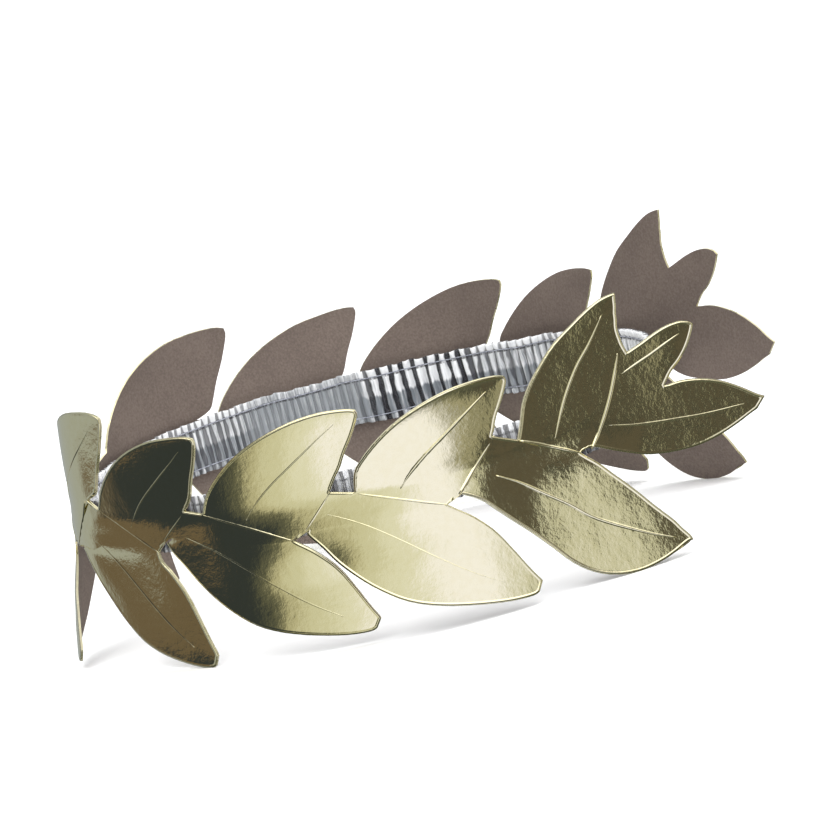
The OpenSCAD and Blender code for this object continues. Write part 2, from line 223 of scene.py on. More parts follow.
# distance along the arm, height above its centre line, distance out of the card's middle, and how
# far the lower lean gives way to the upper one
def cardPoint(arm, k, s, v, n=0, flat=0):
    free = runStart(k + 1) + card["leafPitch"]
    x, y, h = onArm(arm, max(s, card["stemGap"] / 2), free)
    pair = leafPairs[k]
    upper = card["upperLean"] * pair[7]
    lean = math.radians(upper if v > 0 else mix(lowerLeanAt(k, s, v), upper, flat))
    out = n + jointSwell(k, s, v) - v * math.sin(lean)
    lift = riseAt(arm, s) * max(0, min(1, 1 + v / card["stemHeight"]))
    z = card["stemHeight"] + lift + v * math.cos(lean)
    return worldPoint(arm, x + out * math.sin(h), y - out * math.cos(h), z)


def upperFoot(k):
    return runStart(k + 1) + card["footShare"] * card["upperNotch"]


def lowerFoot(k):
    return upperFoot(k) - card["footSlant"] * leafPairs[k][0]


def endSection(row):
    start = runStart(pairs)
    long, high = card["bigEndLength"], card["endNotchHeight"]
    return start + long * row[0], high * row[1], start + long * row[2], high * row[3]


def stemSection(k, w):   # upper s and v, lower s and v
    pair = leafPairs[k]
    if k < last:
        return (
            mix(upperFoot(k), upperFoot(k + 1) - card["upperNotch"], w),
            card["stemUp"] * mix(pair[1], pair[2], w),
            mix(lowerFoot(k), lowerFoot(k + 1) - card["lowerNotch"], w),
            -card["stemDown"] * mix(pair[3], pair[4], w),
        )
    to = endSection(bigEndLeaf[0])
    return (
        mix(upperFoot(k), to[0], w), mix(card["stemUp"] * pair[1], to[1], w * w),
        mix(lowerFoot(k), to[2], w), mix(-card["stemDown"] * pair[3], to[3], w),
    )


def between(rows, t):   # smooth curve through the rows
    i = min(int(t), len(rows) - 2)
    f = t - i
    a, b, c, d = (rows[max(0, min(len(rows) - 1, i + j))] for j in (-1, 0, 1, 2))
    return [
        0.5 * (2 * q + (r - p) * f + (2 * p - 5 * q + 4 * r - u) * f * f
               + (3 * q - p - 3 * r + u) * f ** 3)
        for p, q, r, u in zip(a, b, c, d)
    ]


def leafRows(table, k, length, height):
    start = runStart(k + 1)
    return [(start + length * a, height * b, start + length * c, height * d) for a, b, c, d in table]


def lowerReach(k):
    lean = math.radians(card["lowerLean"] * leafPairs[k][10])
    return card["stemHeight"] * leafPairs[k][9] / math.cos(lean)


columns = card["columns"]
fine = card["rowsPerSection"]
# sections of the stem with the leaf pair that each belongs to
stem = [((card["stemGap"] / 2, card["stemUp"], card["stemGap"] / 2, -card["stemDown"] / 4), 0)]
for k in range(pairs):
    stem += [(stemSection(k, c / columns), k) for c in range(columns + 1)]
endRows = [endSection(row) for row in bigEndLeaf]
for i in range(1, (len(bigEndLeaf) - 1) * fine + 1):
    stem.append((tuple(between(endRows, i / fine)), last))
pairFoot = [1 + k * (columns + 1) for k in range(pairs)]
endFoot = pairFoot[last] + columns

# every leaf: its rows, its first stem section, columns, pair and whether it stands above
leaves = []
for k in range(pairs):
    pair = leafPairs[k]
    if k < last:
        upper = leafRows(upperLeaf, k, card["upperLength"] * pair[5], card["upperHeight"] * pair[6])
        lower = leafRows(lowerLeaf, k, card["lowerLength"] * pair[8], lowerReach(k))
    else:
        upper = leafRows(lastUpperLeaf, k, card["lastUpperLength"], card["lastUpperHeight"])
        lower = leafRows(lastLowerLeaf, k, card["lastLowerLength"], lowerReach(k))
    leaves.append((upper, pairFoot[k], columns, k, True))
    leaves.append((lower, pairFoot[k], columns, k, False))
small = leafRows(smallEndLeaf, last, card["smallEndLength"], card["smallEndHeight"])
leaves.append((small, endFoot, (smallFoot - 1) * fine, last, True))


def leafPoint(leaf, w, t):   # s and v, at the share w across and t sections out from the stem
    rows, foot, cols, k, isUpper = leaf
    edge = 0 if isUpper else 2

    def base(c):
        section = stem[foot + c][0]
        return section[edge], section[edge + 1]

    a, b = base(0), base(cols)
    first = (a[0], a[1], b[0], b[1])
    whole = [first] + list(rows)
    if isUpper and b[1] > rows[0][3]:   # a high foot draws the first sections up with it
        along = (b[0] - rows[0][2]) * card["drawnAlong"]
        up = (b[1] - rows[0][3]) * card["drawnUp"]
        fades = card["drawnFade"] + [0] * len(rows)
        whole = [first] + [(p, q, r + along * fade, u + up * fade)
                           for (p, q, r, u), fade in zip(rows, fades)]
    s0, v0, s1, v1 = between(whole, t)
    s, v = mix(s0, s1, w), mix(v0, v1, w)
    if t < 1:   # the foot follows the stem's own edge
        c = w * cols
        i = min(int(c), cols - 1)
        (p, q), (r, u) = base(i), base(i + 1)
        f = c - i
        off = (1 - t) ** 2
        s += off * (mix(p, r, f) - mix(a[0], b[0], w))
        v += off * (mix(q, u, f) - mix(a[1], b[1], w))
    return s, v


def swell(leaf, w, t, s):   # the leaf's slight crown, and the flare of the last lower leaf
    rows, foot, cols, k, isUpper = leaf
    crown = card["crowns"][k][0 if isUpper else 1] if cols == columns else card["smallCrown"]
    out = crown * math.sin(math.pi * min(1, t / len(rows))) * (1 - (2 * w - 1) ** 2)
    if not isUpper:
        out += card["tipOut"][k] * t / len(rows)
    if k == last and not isUpper:
        far = (s - runStart(pairs) - card["flareFrom"]) / (card["flareTo"] - card["flareFrom"])
        out += card["flare"] * ease(far) * ease(t / card["flareRows"])
    return out


def joinMesh(name, bm, flat=False):
    mesh = bpy.data.meshes.new(name)
    for face in bm.faces:
        face.smooth = not flat
    bm.to_mesh(mesh)
    bm.free()
    piece = bpy.data.objects.new(name, mesh)
    bpy.context.scene.collection.objects.link(piece)
    return piece


def gridSheet(bm, across, along, place):   # a grid whose corners run from 0,0 to 1,1
    made = bmesh.ops.create_grid(bm, x_segments=across, y_segments=along, size=0.5)
    for vert in made["verts"]:
        vert.co = place(vert.co.x + 0.5, vert.co.y + 0.5)


def measureRim(bm):   # each point's distance from the cut rim, in millimetres, for the foil's bead
    spots = []
    for rim in bm.edges:
        if rim.is_boundary:
            a, b = (vert.co for vert in rim.verts)
            steps = max(1, math.ceil((b - a).length / (card["rimStep"] * mm)))
            spots += [a.lerp(b, i / steps) for i in range(steps + 1)]
    tree = KDTree(len(spots))
    for i, spot in enumerate(spots):
        tree.insert(spot, i)
    tree.balance()
    layer = bm.verts.layers.float.new("rim")
    for vert in bm.verts:
        vert[layer] = 0 if vert.is_boundary else min(card["rimReach"], tree.find(vert.co)[2] / mm)


def makeSprig(arm):
    bm = bmesh.new()
    sections = len(stem) - 1

    def stemPlace(x, y):
        i = round(x * sections)
        section, k = stem[i]
        flat = min(1, max(0, i - endFoot) / (card["flatAfter"] * fine))
        s, v = mix(section[2], section[0], y), mix(section[3], section[1], y)
        return cardPoint(arm, k, s, v, 0, flat)

    gridSheet(bm, sections, card["stemRows"], stemPlace)
    for leaf in leaves:
        count = len(leaf[0])

        def leafPlace(x, y):
            out = y if leaf[4] else 1 - y
            s, v = leafPoint(leaf, x, out * count)
            return cardPoint(arm, leaf[3], s, v, swell(leaf, x, out * count, s))

        gridSheet(bm, leaf[2], count * fine, leafPlace)
    bmesh.ops.remove_doubles(bm, verts=bm.verts, dist=card["weld"] * mm)
    if arm == 1:
        bmesh.ops.reverse_faces(bm, faces=bm.faces)
    measureRim(bm)
    return joinMesh(armNames[arm] + "FoilCard", bm)


# raised lines of the embossing: points as shares of each leaf's own length and height
embossed = {
    "width": 1.15, "height": 0.21, "sink": 0.12, "body": 0.22, "steps": 5, "columns": 6,
    # how narrow the ends are, how fast they widen, and the share of the width that goes by strength
    "taperFrom": 0.35, "taperRise": 2.5, "widerBy": 0.4,
    # strength of each pair's upper and lower vein
    "strengths": [(0.6, 0.5), (0.4, 0.65), (0.4, 0.7), (1.4, 0.5), (1.3, 1.9)],
    # strength of the stem and joint lines, of the first pairs and of the last pair
    "stemLine": (0.7, 2.0), "jointLine": (0.4, 1.6), "endVein": 1.2, "innerLine": 1.5,
    # how far those lines stay inside the card, and how the stem line's middle lies
    "stemInset": 0.3, "jointInset": 0.2, "jointBack": 0.6, "middleAlong": 0.55, "middleSag": 0.2,
    "upperVein": [(0.33, -0.06), (0.40, 0.10), (0.495, 0.27), (0.61, 0.44), (0.74, 0.63),
                  (0.88, 0.835)],
    "lowerVein": [(-0.08, -0.11), (0.11, -0.22), (0.29, -0.37), (0.47, -0.55), (0.64, -0.72),
                  (0.80, -0.855)],
    "lastUpperVein": [(0.37, 0.03), (0.44, 0.19), (0.52, 0.35), (0.63, 0.525), (0.75, 0.67),
                      (0.88, 0.855)],
    "lastLowerVein": [(-0.09, -0.10), (0.04, -0.19), (0.16, -0.30), (0.29, -0.42),
                      (0.43, -0.57), (0.70, -0.76), (0.865, -0.855)],
    "smallVein": [(0.62, 0.58), (0.765, 0.705), (0.925, 0.845)],
    "bigVein": [(0.415, 0.055), (0.515, -0.04), (0.65, -0.115), (0.78, -0.19), (0.935, -0.225)],
    # in millimetres from the end of the last run: the line inside the last upper leaf
    "lastInner": [(35.2, 18.2), (33.4, 13.7), (30.5, 7.6), (26.5, 1.0), (22.6, -3.8)],
    "leafReach": 2.5,   # a point this near a leaf takes up the leaf's crown
}


def embossedLines():
    lines = []
    for k in range(pairs):
        pair = leafPairs[k]
        start = runStart(k + 1)
        if k < last:
            upper = (card["upperLength"] * pair[5], card["upperHeight"] * pair[6], "upperVein")
            lower = (card["lowerLength"] * pair[8], lowerReach(k), "lowerVein")
            footTo = (lowerFoot(k + 1) - card["lowerNotch"], -card["stemDown"] * pair[4])
        else:
            upper = (card["lastUpperLength"], card["lastUpperHeight"], "lastUpperVein")
            lower = (card["lastLowerLength"], lowerReach(k), "lastLowerVein")
            footTo = endSection(bigEndLeaf[0])[2:]
        for (length, height, key), strength in zip((upper, lower), embossed["strengths"][k]):
            lines.append((k, [(start + length * a, height * b) for a, b in embossed[key]], strength))
        inset = embossed["stemInset"]
        footFrom = (upperFoot(k) + inset, card["stemUp"] * pair[1] - inset)
        middle = (mix(footFrom[0], footTo[0], embossed["middleAlong"]),
                  mix(footFrom[1], footTo[1], 0.5) - embossed["middleSag"])
        lines.append((k, [footFrom, middle, footTo], embossed["stemLine"][k == last]))
        if k > 0:
            inset = embossed["jointInset"]
            before = leafPairs[k - 1]
            top = (upperFoot(k) - card["upperNotch"] + inset, card["stemUp"] * before[2])
            low = (lowerFoot(k) - embossed["jointBack"], -card["stemDown"] * pair[3] + inset)
            middle = (mix(top[0], low[0], 0.5), mix(top[1], low[1], 0.5))
            lines.append((k, [top, middle, low], embossed["jointLine"][k == last]))
    start = runStart(pairs)
    for key, length, height in (("smallVein", card["smallEndLength"], card["smallEndHeight"]),
                                ("bigVein", card["bigEndLength"], card["endNotchHeight"])):
        points = [(start + length * a, height * b) for a, b in embossed[key]]
        lines.append((last, points, embossed["endVein"], 1))
    inner = [(start + a, b) for a, b in embossed["lastInner"]]
    lines.append((last, inner, embossed["innerLine"]))
    return lines


def makeEmbossing(arm):
    bm = bmesh.new()
    for k, points, strength, *flat in embossedLines():   # the end leaves' veins lie flat
        steps = (len(points) - 1) * embossed["steps"]
        path = [between(points, i / embossed["steps"]) for i in range(steps + 1)]
        wider = 1 - embossed["widerBy"] + embossed["widerBy"] * strength

        def ridgePlace(x, y):
            side, i = x * 2 - 1, round(y * steps)
            a, b = path[max(0, i - 1)], path[min(steps, i + 1)]
            ds, dv = b[0] - a[0], b[1] - a[1]
            long = math.hypot(ds, dv)
            taper = min(1, embossed["taperFrom"] + embossed["taperRise"] * min(i, steps - i) / steps)
            wide = embossed["width"] / 2 * taper * side * wider
            high = embossed["height"] * strength * taper + embossed["sink"]
            profile = 0.5 + 0.5 * math.cos(math.pi * side)
            n = card["wall"] / 2 - embossed["sink"] + high * profile
            s, v = path[i][0] + wide * dv / long, path[i][1] - wide * ds / long
            return cardPoint(arm, k, s, v, n + swellNear(k, s, v), *flat)

        gridSheet(bm, embossed["columns"], steps, ridgePlace)
    if arm == 1:
        bmesh.ops.reverse_faces(bm, faces=bm.faces)
    return joinMesh(armNames[arm] + "Embossing", bm)


def swellNear(k, s, v):   # the crown of the leaf under a point of an embossed line
    for leaf in leaves:
        if leaf[3] != k or (v > 0) != leaf[4]:
            continue
        count = len(leaf[0])
        nearest = None
        for i in range(count * 2 + 1):
            a, b = leafPoint(leaf, 0, i / 2), leafPoint(leaf, 1, i / 2)
            ds, dv = b[0] - a[0], b[1] - a[1]
            w = ((s - a[0]) * ds + (v - a[1]) * dv) / (ds * ds + dv * dv)
            gap = math.hypot(a[0] + w * ds - s, a[1] + w * dv - v)
            if 0 <= w <= 1 and (nearest is None or gap < nearest[0]):
                nearest = (gap, w, i / 2)
        if nearest and nearest[0] < embossed["leafReach"]:
            return swell(leaf, nearest[1], nearest[2], s)
    return 0


# Shader maths: a Wire is an output socket, and sums and products of wires add Math nodes
class Wire:
    def __init__(self, maker, socket):
        self.maker, self.socket = maker, socket

    def maths(self, operation, other, turned=False):
        a, b = (other, self) if turned else (self, other)
        return self.maker.maths(operation, a, b)

    def __add__(self, other):
        return self.maths("ADD", other)

    def __radd__(self, other):
        return self.maths("ADD", other, True)

    def __sub__(self, other):
        return self.maths("SUBTRACT", other)

    def __rsub__(self, other):
        return self.maths("SUBTRACT", other, True)

    def __mul__(self, other):
        return self.maths("MULTIPLY", other)

    def __rmul__(self, other):
        return self.maths("MULTIPLY", other, True)

    def beside(self, output):   # another output of the same node
        return Wire(self.maker, self.socket.node.outputs[output])


class Finish:   # the nodes of a material, or of the room
    def __init__(self, owner):
        self.owner = owner
        owner.use_nodes = True
        self.tree = owner.node_tree
        self.tree.nodes.clear()

    def add(self, kind, settings, inputs, output=0):
        node = self.tree.nodes.new(kind)
        for name, value in settings.items():
            setattr(node, name, value)
        for name, value in inputs.items():
            if isinstance(value, Wire):
                self.tree.links.new(value.socket, node.inputs[name])
            else:
                node.inputs[name].default_value = value
        return Wire(self, node.outputs[output]) if node.outputs else node

    def maths(self, operation, *values):
        return self.add("ShaderNodeMath", {"operation": operation}, dict(enumerate(values)))

    def place(self):
        return self.add("ShaderNodeTexCoord", {}, {}, "Object")

    def attribute(self, name):
        return self.add("ShaderNodeAttribute", {"attribute_name": name}, {}, "Fac")

    def noise(self, at, scale, detail=2, roughness=0.5):
        return self.add("ShaderNodeTexNoise", {}, {
            "Vector": at, "Scale": scale, "Detail": detail, "Roughness": roughness}, "Fac")

    def rise(self, value, low, high):   # smooth step from 0 at low to 1 at high
        return self.add("ShaderNodeMapRange", {"interpolation_type": "SMOOTHSTEP"},
                        {0: value, 1: low, 2: high, 3: 0, 4: 1})

    def blend(self, amount, a, b):   # colours
        return self.add("ShaderNodeMix", {"data_type": "RGBA"}, {0: amount, 6: a, 7: b}, 2)

    def bump(self, height):   # height in millimetres
        return self.add("ShaderNodeBump", {}, {
            "Strength": 1, "Distance": mm, "Height": height}, "Normal")

    def surface(self, inputs):
        shader = self.add("ShaderNodeBsdfPrincipled", {}, inputs)
        self.add("ShaderNodeOutputMaterial", {}, {"Surface": shader})
        return self.owner


def newFinish(name):
    return Finish(bpy.data.materials.new(name))


# gold foil: a mirror with the slight orange peel of laminated card, heights in millimetres
foil = {
    "pale": (0.93, 0.86, 0.56, 1), "deep": (0.915, 0.84, 0.53, 1), "toneAt": (0.35, 0.7),
    "roughness": 0.06, "roughSpots": 0.07,
    "peelScale": 620, "peelHeight": 0.045, "grainScale": 2300, "grainHeight": 0.010,
    "waveScale": 85, "waveHeight": 0.20,
    # the punch leaves a bead along the rim: outer slope, inner slope and their heights
    "beadOut": (0.02, 0.42), "beadIn": (0.42, 0.85), "beadHeight": 0.30, "beadStep": 0.13,
}


def foilFinish():
    made = newFinish("goldFoil")
    at = made.place()
    peel = made.noise(at, foil["peelScale"], 3, 0.55)
    grain = made.noise(at, foil["grainScale"])
    wave = made.noise(at, foil["waveScale"], 1)
    rim = made.attribute("rim")
    outer = made.rise(rim, *foil["beadOut"]) * foil["beadHeight"]
    bead = outer - made.rise(rim, *foil["beadIn"]) * foil["beadStep"]
    height = peel * foil["peelHeight"] + grain * foil["grainHeight"] + wave * foil["waveHeight"] + bead
    return made.surface({
        "Base Color": made.blend(made.rise(peel, *foil["toneAt"]), foil["pale"], foil["deep"]),
        "Metallic": 1, "Roughness": foil["roughness"] + grain * foil["roughSpots"],
        "Normal": made.bump(height),
    })


# the card's plain back: greyboard with short fibres in larger patches
board = {
    "light": (0.192, 0.151, 0.126, 1), "dark": (0.134, 0.104, 0.087, 1), "toneAt": (0.36, 0.64),
    "roughness": 0.82, "roughPatches": 0.1,
    "fibreScale": 1700, "fibreHeight": 0.03, "fibreShare": 0.75, "patchScale": 60, "patchShare": 0.25,
}


def boardFinish():
    made = newFinish("greyBoard")
    at = made.place()
    fibre = made.noise(at, board["fibreScale"], 4, 0.65)
    patch = made.noise(at, board["patchScale"])
    tone = made.rise(fibre * board["fibreShare"] + patch * board["patchShare"], *board["toneAt"])
    return made.surface({
        "Base Color": made.blend(tone, board["dark"], board["light"]),
        "Roughness": board["roughness"] + patch * board["roughPatches"],
        "Normal": made.bump(fibre * board["fibreHeight"]),
    })


# the cut edge: foil colour with random patches of pale cream, a painted highlight, where the edge is
# also less metallic and rougher
edge = {
    "paleHighlight": (0.62, 0.57, 0.38, 1), "foil": (0.90, 0.83, 0.52, 1), "scale": 260, "highlightAt": (0.4, 0.62),
    "metallic": 0.9, "highlightMetallic": 0.45, "roughness": 0.24, "highlightRoughness": 0.2,
}


def edgeFinish():
    made = newFinish("cutEdge")
    # patches of painted pale-cream highlight on the cut edge
    highlightSpots = made.rise(made.noise(made.place(), edge["scale"], 3), *edge["highlightAt"])
    return made.surface({
        "Base Color": made.blend(highlightSpots, edge["foil"], edge["paleHighlight"]),
        "Metallic": edge["metallic"] - highlightSpots * edge["highlightMetallic"],
        "Roughness": edge["roughness"] + highlightSpots * edge["highlightRoughness"],
    })


goldFoil, greyBoard, cutEdge = foilFinish(), boardFinish(), edgeFinish()
print("card finishes made")


def dress(piece, materials, replaced=None):
    for material in materials:
        piece.data.materials.append(material)
    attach(piece, "root")
    if replaced:
        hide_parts(replaced)


for arm in (0, 1):
    sprig = makeSprig(arm)
    wall = sprig.modifiers.new("wall", "SOLIDIFY")
    wall.thickness, wall.offset = card["wall"] * mm, 0
    wall.material_offset, wall.material_offset_rim = 1, 2
    rounding = sprig.modifiers.new("rounding", "BEVEL")
    rounding.width, rounding.segments, rounding.harden_normals = card["rounding"] * mm, 2, True
    rounding.limit_method, rounding.angle_limit = "ANGLE", math.radians(card["roundingAngle"])
    dress(sprig, [goldFoil, greyBoard, cutEdge], armNames[arm] + "_sprig")
    lines = makeEmbossing(arm)
    body = lines.modifiers.new("body", "SOLIDIFY")
    body.thickness, body.offset = embossed["body"] * mm, -1
    dress(lines, [goldFoil])
    print(armNames[arm], "sprig made")

# the band of gathered film: sizes in millimetres
band = {
    "height": 14, "up": 7, "seatClear": 0.3, "gatherDepth": 1.4, "filmWall": 0.4,
    "run": 190, "frontRound": 32, "pitch": 2.35, "film": 0.12,
    "cutLength": 740,   # of the flat strip, before it is gathered
    # places on the loop per millimetre of the arms and on the whole front, mesh columns per gather
    "perMm": 2, "frontPlaces": 240, "columns": 8, "weld": 0.01,
    # share of the height and of the gather's depth: a beaded hem, the ribs, a ruffled header
    "rows": [(0, 0.75), (0.035, 1.2), (0.075, 1.15), (0.11, 0.4), (0.14, 0.55), (0.2, 1.0),
             (0.35, 1.05), (0.5, 1.0), (0.65, 1.05), (0.78, 0.95), (0.83, 0.55), (0.865, 0.4),
             (0.9, 0.95), (0.95, 1.2), (1.0, 1.3)],
    # along the left arm: distance, lift of the whole band, pitch and depth shares
    "left": [(0, 0, 1, 0.8), (35, 1.2, 1, 0.75), (64, 1.2, 0.85, 0.6), (88, 0, 0.95, 0.6),
             (104, -1.2, 1.35, 1.15), (121, -1.2, 1.35, 1.2), (146, -0.4, 1.25, 1), (165, 1, 1.2, 1),
             (190, 1.2, 1.1, 1)],
    # along the left arm: distance, and how flat and grey the film is pulled
    "pulled": [(0, 0.4), (56, 0.4), (66, 1), (93, 1), (101, 0), (127, 0), (136, 0.45), (190, 0.5)],
    "pulledElsewhere": 0.3,
    # uneven pitch: how far apart, seed and strength
    "uneven": [(9, 3.1, 0.22), (3, 7.7, 0.12)],
    # a gather's lean and sway in gathers, its depth and how much that varies, its roundness, and
    # how ragged the ends are
    "lean": 0.35, "sway": 0.22, "depthShare": 0.85, "depthVaries": 0.45, "deepest": 1.3,
    "roundness": 0.25, "ragged": 0.35,
    # the two stitching threads: their height, width and how deep they lie in the gathers
    "threadShares": (0.115, 0.86), "threadWidth": 0.3, "threadDepth": 0.32,
    "threadSides": 6, "threadEvery": 4,
}
bandLow = card["stemHeight"] + band["up"] - band["height"]


def bandPlaces():   # x, y, heading, and distance along the left arm or none
    inset = (card["wall"] / 2 + band["seatClear"] + (band["gatherDepth"] + band["filmWall"]) / 2
             + band["up"] * math.sin(math.radians(card["upperLean"])))

    def armPlace(arm, s):
        x, y, h = onArm(arm, s, s)
        x, y = x - inset * math.sin(h), y + inset * math.cos(h)
        return (x, y, h) if arm == 0 else (-x, y, -h)

    run, count = band["run"], band["run"] * band["perMm"]
    places = [armPlace(1, run * i / count) + (run * i / count,) for i in range(count, 0, -1)]
    places += [armPlace(0, run * i / count) + (None,) for i in range(count)]
    p, q = armPlace(0, run), armPlace(1, run)   # the front is one curve between the two arms
    a, d = Vector(p[:2]), Vector(q[:2])
    b = a + band["frontRound"] * Vector((math.cos(p[2]), math.sin(p[2])))
    c = d - band["frontRound"] * Vector((math.cos(q[2]), math.sin(q[2])))
    for i in range(band["frontPlaces"]):
        t = i / band["frontPlaces"]
        here = a * (1 - t) ** 3 + b * 3 * t * (1 - t) ** 2 + c * 3 * t * t * (1 - t) + d * t ** 3
        way = (b - a) * (1 - t) ** 2 + (c - b) * 2 * t * (1 - t) + (d - c) * t * t
        places.append((here.x, here.y, math.atan2(way.y, way.x), None))
    return places


def byTable(rows, s, column):   # smooth steps between a table's rows
    for a, b in zip(rows, rows[1:]):
        if s <= b[0]:
            return mix(a[column], b[column], ease((s - a[0]) / (b[0] - a[0])))
    return rows[-1][column]


def gatherPhases(places):   # how many gathers lie before each place, and in all
    phases, total, run = [], 0, 0
    for p, q in zip(places, places[1:] + places[:1]):
        uneven = 1
        for apart, seed, strength in band["uneven"]:
            uneven += strength * noise.noise((run / apart, seed, 0))
        share = 1 if p[3] is None else byTable(band["left"], p[3], 2)
        step = math.hypot(q[0] - p[0], q[1] - p[1])
        phases.append(total)
        total += step / (band["pitch"] * share * uneven)
        run += step
    gathers = round(total)
    print("gathers", gathers, "loop", round(run, 1))
    return [phase * gathers / total for phase in phases] + [gathers], gathers


# where each column of the mesh stands: x, y, heading, lift, depth share, phase and how flat
def bandSpots():
    places = bandPlaces()
    count = len(places)
    phases, gathers = gatherPhases(places)
    front = count - band["frontPlaces"]
    spots, i = [], 0
    for c in range(gathers * band["columns"] + 1):
        phase = c / band["columns"]
        while i < count - 1 and phases[i + 1] < phase:
            i += 1
        f = (phase - phases[i]) / (phases[i + 1] - phases[i])
        p, q = places[i], places[(i + 1) % count]
        turn = (q[2] - p[2] + math.pi) % (2 * math.pi) - math.pi
        s = p[3]
        if s is None:   # the right arm is level, and the front rises to the left arm's lift
            lift = band["left"][-1][1] * max(0, (i - front) / (count - front)) ** 2
            depth, flat = 1, band["pulledElsewhere"]
        else:
            lift, depth = byTable(band["left"], s, 1), byTable(band["left"], s, 3)
            flat = byTable(band["pulled"], s, 1)
        x, y = mix(p[0], q[0], f), mix(p[1], q[1], f)
        spots.append((x, y, p[2] + turn * f, lift, depth, phase, flat))
    spots[-1] = spots[0][:5] + spots[-1][5:]   # the loop closes
    return spots, gathers


def bandPoint(spot, out, height):
    x, y, h, lift = spot[:4]
    return Vector(((card["middleX"] + x + out * math.sin(h)) * mm, (y - out * math.cos(h)) * mm,
                   (bandLow + lift + height) * mm))


def filmPoint(spots, gathers, c, share, depthShare):
    depth, phase = spots[c][4:6]
    wrap = phase % gathers
    lean = band["lean"] * noise.noise((wrap * 0.21, 1.7, 0)) * math.sin(math.pi * share)
    sway = band["sway"] * noise.noise((wrap * 0.9, share * 2.5, 4.2))
    if c in (0, len(spots) - 1):
        lean = sway = 0
    varied = noise.noise((math.floor(wrap + 0.5) * 1.37, 9.1, share * 1.2))
    strength = band["depthShare"] + band["depthVaries"] * varied
    wave = math.cos(2 * math.pi * (phase + lean + sway))
    rounded = wave * (1 + band["roundness"] - band["roundness"] * wave * wave)
    out = band["gatherDepth"] / 2 * min(band["deepest"], depth * depthShare * strength) * rounded
    ends = band["ragged"] * noise.noise((wrap * 0.8, 5.5, share * 3)) * abs(share * 2 - 1)
    return bandPoint(spots[c], out, band["height"] * share + ends)


def makeFilm(spots, gathers):
    rows, columns = band["rows"], len(spots) - 1
    bm = bmesh.new()
    way = bm.loops.layers.uv.new("filmWay")
    pulled = bm.verts.layers.float.new("pulled")
    made = bmesh.ops.create_grid(bm, x_segments=columns, y_segments=len(rows) - 1, size=0.5)
    for vert in made["verts"]:
        vert.co.x, vert.co.y = vert.co.x + 0.5, vert.co.y + 0.5
    for face in bm.faces:
        for loop in face.loops:   # gathers across, metres along
            share = rows[round(loop.vert.co.y * (len(rows) - 1))][0]
            loop[way].uv = (loop.vert.co.x * gathers, share * band["height"] * mm)
    for vert in made["verts"]:
        c = round(vert.co.x * columns)
        vert[pulled] = spots[c][6]
        vert.co = filmPoint(spots, gathers, c, *rows[round(vert.co.y * (len(rows) - 1))])
    bmesh.ops.remove_doubles(bm, verts=bm.verts, dist=band["weld"] * mm)
    area = sum(face.calc_area() for face in bm.faces)
    print("film area", round(area, 5), "strip length", round(area / (band["height"] * mm), 3))
    return joinMesh("gatheredFilm", bm)


def makeThreads(spots):
    bm = bmesh.new()
    around = (len(spots) - 1) // band["threadEvery"]
    for share in band["threadShares"]:

        def threadPlace(x, y):
            i = round(x * around)
            spot = spots[-1] if i == around else spots[i * band["threadEvery"]]
            turn = 2 * math.pi * y
            out = band["threadWidth"] / 2 * math.cos(turn) - band["gatherDepth"] * band["threadDepth"]
            up = -band["threadWidth"] / 2 * math.sin(turn)
            return bandPoint(spot, out, band["height"] * share + up)

        gridSheet(bm, around, band["threadSides"], threadPlace)
    bmesh.ops.remove_doubles(bm, verts=bm.verts, dist=band["weld"] * mm)
    return joinMesh("bandThreads", bm)


# clear film: each gather is a glossy bar with a painted white sheen, whiter in its upper half, between
# folds of painted near-black shade
film = {
    # bright is a painted white sheen on the bars, and the near-black fold colour is painted shade
    # between them
    "bright": (0.90, 0.91, 0.92, 1), "grey": (0.19, 0.21, 0.23, 1), "foldShade": (0.035, 0.035, 0.04, 1),
    "flat": (0.30, 0.32, 0.335, 1), "alphaBar": 0.97, "alphaFold": 0.80, "specular": 0.7,
    "roughness": 0.12, "roughStreaks": 0.15, "streakHeight": 0.14, "barHeight": 0.12,
    # patterns across and along the gathers: streaks, how the bars sway, and each bar's own amount of
    # painted sheen
    "streaks": (5.5, 120), "sway": (0.7, 110), "swayBy": 0.7, "each": (1.9, 2),
    # where a bar's edge lies in its gather, and the rest up the height of the band
    "barEdge": (0.66, 0.46), "upperAt": (0.44, 0.52), "upperVaries": 0.2,
    "headerAt": (0.86, 0.89), "hemAt": (0.11, 0.08),
    "stitchFrom": (0.80, 0.82), "stitchTo": (0.86, 0.84), "stitchStreaks": (0.4, 0.55),
    "stitchDark": 0.75,
    # what adds painted white sheen to a bar, and where their sum turns it from grey to the painted
    # sheen
    "eachWhite": 0.45, "streakWhite": 0.55, "upperWhite": 0.26, "headerWhite": 0.25,
    "hemWhite": 0.1, "whiteAt": (0.44, 0.80),
    # how much of the upper painted sheen, the painted fold shade and the rest of the sheen is gone
    # where the film is pulled flat
    "pulledUpper": 0.8, "pulledFolds": 0.8, "pulledHeader": 0.12, "pulledWhite": 0.08,
}


